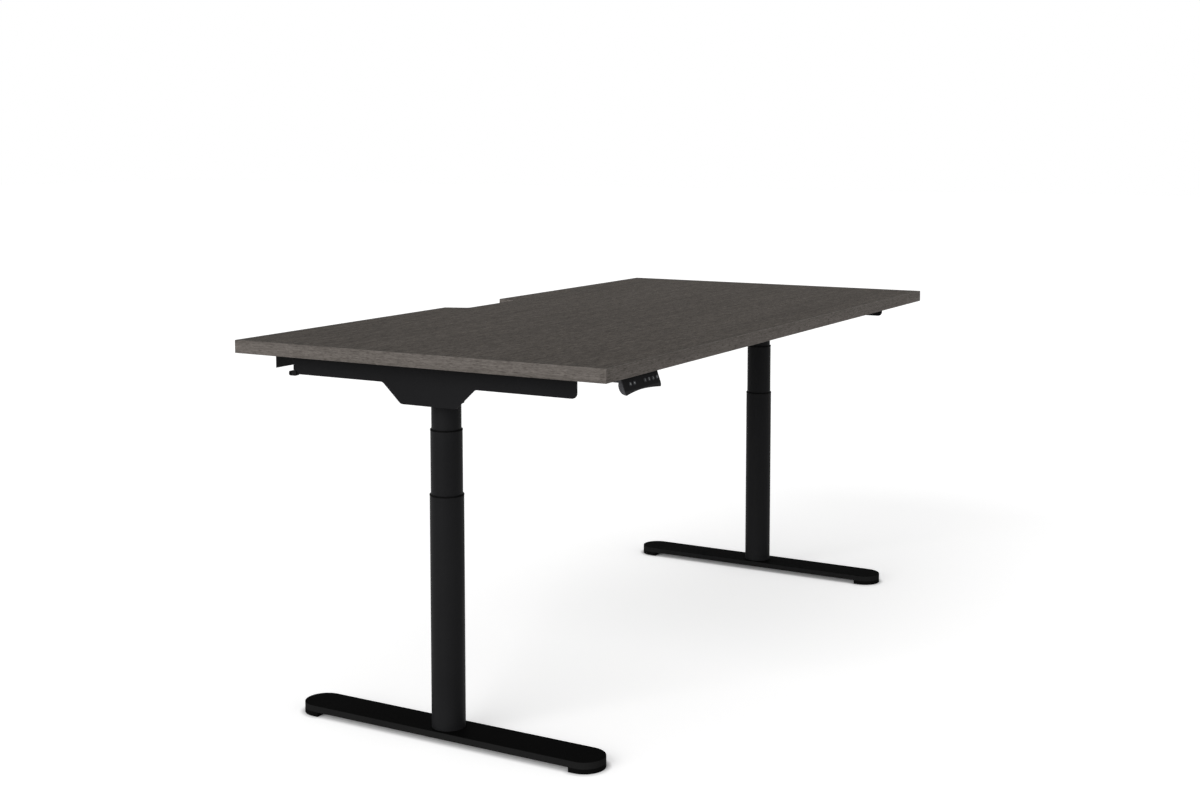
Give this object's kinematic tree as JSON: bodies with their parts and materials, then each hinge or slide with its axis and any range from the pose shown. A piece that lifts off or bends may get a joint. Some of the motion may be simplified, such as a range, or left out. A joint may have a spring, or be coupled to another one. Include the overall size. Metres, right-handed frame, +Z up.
{
  "type": "height adjustable desk",
  "caption": "Rectangular laminate desktop with a rear cable notch on two round telescoping lifting columns with long flat feet, a cable tray and a push-button handset.",
  "frame": {"origin": "on the floor under the middle of the desktop", "axes": "+X along the desktop to the right of the person who sits at it, +Y from that person towards the rear edge, +Z up"},
  "size_m": [1.6, 0.8, 0.725],
  "materials": {
    "wood_grain_laminate": "matte",
    "edge_band_vinyl": "matte",
    "particle_board": "matte",
    "powder_coat_foot": "satin",
    "powder_coat_column": "satin",
    "powder_coat_bracket": "satin",
    "powder_coat_tray": "satin",
    "glide_plastic": "matte",
    "pad_rubber": "matte",
    "levelling_plastic": "matte",
    "spindle_steel": "satin",
    "nut_plastic": "matte",
    "gearbox_casting": "matte",
    "motor_can": "satin",
    "fastener_steel": "satin",
    "clip_plastic": "matte",
    "control_plastic": "matte",
    "socket_plastic": "matte",
    "handset_plastic": "matte",
    "handset_face_plastic": "gloss",
    "button_plastic": "matte"
  },
  "bodies": {
    "base": {"foot_left": "powder_coat_foot", "foot_right": "powder_coat_foot", "foot_pads": "pad_rubber", "outer_tube_left": "powder_coat_column", "outer_tube_right": "powder_coat_column", "outer_rings": "glide_plastic", "column_bases": "spindle_steel", "foot_bolts": "fastener_steel", "base_spindles": "spindle_steel"},
    "top_frame": {"top_tube_left": "powder_coat_column", "top_tube_right": "powder_coat_column", "upper_nuts": "nut_plastic", "side_bracket_left": "powder_coat_bracket", "side_bracket_right": "powder_coat_bracket", "gearbox_left": "gearbox_casting", "gearbox_right": "gearbox_casting", "gearbox_lids": "gearbox_casting", "motor_left": "motor_can", "motor_right": "motor_can", "cross_rail_front": "powder_coat_bracket", "cross_rail_rear": "powder_coat_bracket", "rail_bolts": "fastener_steel", "gearbox_bolts": "fastener_steel", "wood_screws": "fastener_steel", "desktop_core": "particle_board", "top_laminate": "wood_grain_laminate", "edge_band_front": "edge_band_vinyl", "edge_band_rear": "edge_band_vinyl", "edge_band_left": "edge_band_vinyl", "edge_band_right": "edge_band_vinyl", "cable_tray": "powder_coat_tray", "cable_clips": "clip_plastic", "control_box": "control_plastic", "control_box_sockets": "socket_plastic", "handset_housing": "handset_plastic", "handset_face": "handset_face_plastic"},
    "middle_stage_left": {"middle_tube_left": "powder_coat_column", "middle_ring_left": "glide_plastic", "spindle_carrier_left": "nut_plastic"},
    "turning_spindle_left": {"hollow_spindle_left": "spindle_steel", "lower_nut_left": "nut_plastic"},
    "drive_left": {"drive_shaft_left": "spindle_steel", "worm_wheel_left": "nut_plastic"},
    "levelling_foot_front_left": {"levelling_screw_front_left": "levelling_plastic"},
    "levelling_foot_rear_left": {"levelling_screw_rear_left": "levelling_plastic"},
    "middle_stage_right": {"middle_tube_right": "powder_coat_column", "middle_ring_right": "glide_plastic", "spindle_carrier_right": "nut_plastic"},
    "turning_spindle_right": {"hollow_spindle_right": "spindle_steel", "lower_nut_right": "nut_plastic"},
    "drive_right": {"drive_shaft_right": "spindle_steel", "worm_wheel_right": "nut_plastic"},
    "levelling_foot_front_right": {"levelling_screw_front_right": "levelling_plastic"},
    "levelling_foot_rear_right": {"levelling_screw_rear_right": "levelling_plastic"},
    "up_button": {"button_up": "button_plastic"},
    "down_button": {"button_down": "button_plastic"},
    "one_button": {"button_one": "button_plastic"},
    "two_button": {"button_two": "button_plastic"},
    "three_button": {"button_three": "button_plastic"},
    "save_button": {"button_save": "button_plastic"}
  },
  "joints": [
    {"name": "lift", "type": "slide", "parent": "base", "child": "top_frame", "axis": [0, 0, 1], "range_m": [-0.085, 0.555]},
    {"name": "middle_stage_left_lift", "type": "slide", "parent": "base", "child": "middle_stage_left", "axis": [0, 0, 1], "range_m": [-0.043, 0.278]},
    {"name": "spindle_left_turn", "type": "hinge", "parent": "middle_stage_left", "child": "turning_spindle_left", "pos_m": [-0.698, -0.01, 0.26], "axis": [0, 0, 1], "range_deg": [-3061, 19981]},
    {"name": "drive_left_turn", "type": "hinge", "parent": "top_frame", "child": "drive_left", "pos_m": [-0.698, -0.01, 0.671], "axis": [0, 0, 1], "range_deg": [-3061, 19981]},
    {"name": "levelling_front_left", "type": "slide", "parent": "base", "child": "levelling_foot_front_left", "axis": [0, 0, -1], "range_m": [0, 0.006]},
    {"name": "levelling_rear_left", "type": "slide", "parent": "base", "child": "levelling_foot_rear_left", "axis": [0, 0, -1], "range_m": [0, 0.006]},
    {"name": "middle_stage_right_lift", "type": "slide", "parent": "base", "child": "middle_stage_right", "axis": [0, 0, 1], "range_m": [-0.043, 0.278]},
    {"name": "spindle_right_turn", "type": "hinge", "parent": "middle_stage_right", "child": "turning_spindle_right", "pos_m": [0.698, -0.01, 0.26], "axis": [0, 0, 1], "range_deg": [-3061, 19981]},
    {"name": "drive_right_turn", "type": "hinge", "parent": "top_frame", "child": "drive_right", "pos_m": [0.698, -0.01, 0.671], "axis": [0, 0, 1], "range_deg": [-3061, 19981]},
    {"name": "levelling_front_right", "type": "slide", "parent": "base", "child": "levelling_foot_front_right", "axis": [0, 0, -1], "range_m": [0, 0.006]},
    {"name": "levelling_rear_right", "type": "slide", "parent": "base", "child": "levelling_foot_rear_right", "axis": [0, 0, -1], "range_m": [0, 0.006]},
    {"name": "press_up", "type": "slide", "parent": "top_frame", "child": "up_button", "axis": [0, 0.9439, -0.3304], "range_m": [0, 0.0008], "stiffness_N_per_m": 1500},
    {"name": "press_down", "type": "slide", "parent": "top_frame", "child": "down_button", "axis": [0, 0.9439, -0.3304], "range_m": [0, 0.0008], "stiffness_N_per_m": 1500},
    {"name": "press_one", "type": "slide", "parent": "top_frame", "child": "one_button", "axis": [0, 0.9439, -0.3304], "range_m": [0, 0.0008], "stiffness_N_per_m": 1500},
    {"name": "press_two", "type": "slide", "parent": "top_frame", "child": "two_button", "axis": [0, 0.9439, -0.3304], "range_m": [0, 0.0008], "stiffness_N_per_m": 1500},
    {"name": "press_three", "type": "slide", "parent": "top_frame", "child": "three_button", "axis": [0, 0.9439, -0.3304], "range_m": [0, 0.0008], "stiffness_N_per_m": 1500},
    {"name": "press_save", "type": "slide", "parent": "top_frame", "child": "save_button", "axis": [0, 0.9439, -0.3304], "range_m": [0, 0.0008], "stiffness_N_per_m": 1500}
  ],
  "couplings": [
    {"joint": "middle_stage_left_lift", "follows": "lift", "ratio": 0.5},
    {"joint": "spindle_left_turn", "follows": "lift", "rad_per_m": 628.32},
    {"joint": "drive_left_turn", "follows": "lift", "rad_per_m": 628.32},
    {"joint": "middle_stage_right_lift", "follows": "lift", "ratio": 0.5},
    {"joint": "spindle_right_turn", "follows": "lift", "rad_per_m": 628.32},
    {"joint": "drive_right_turn", "follows": "lift", "rad_per_m": 628.32}
  ]
}
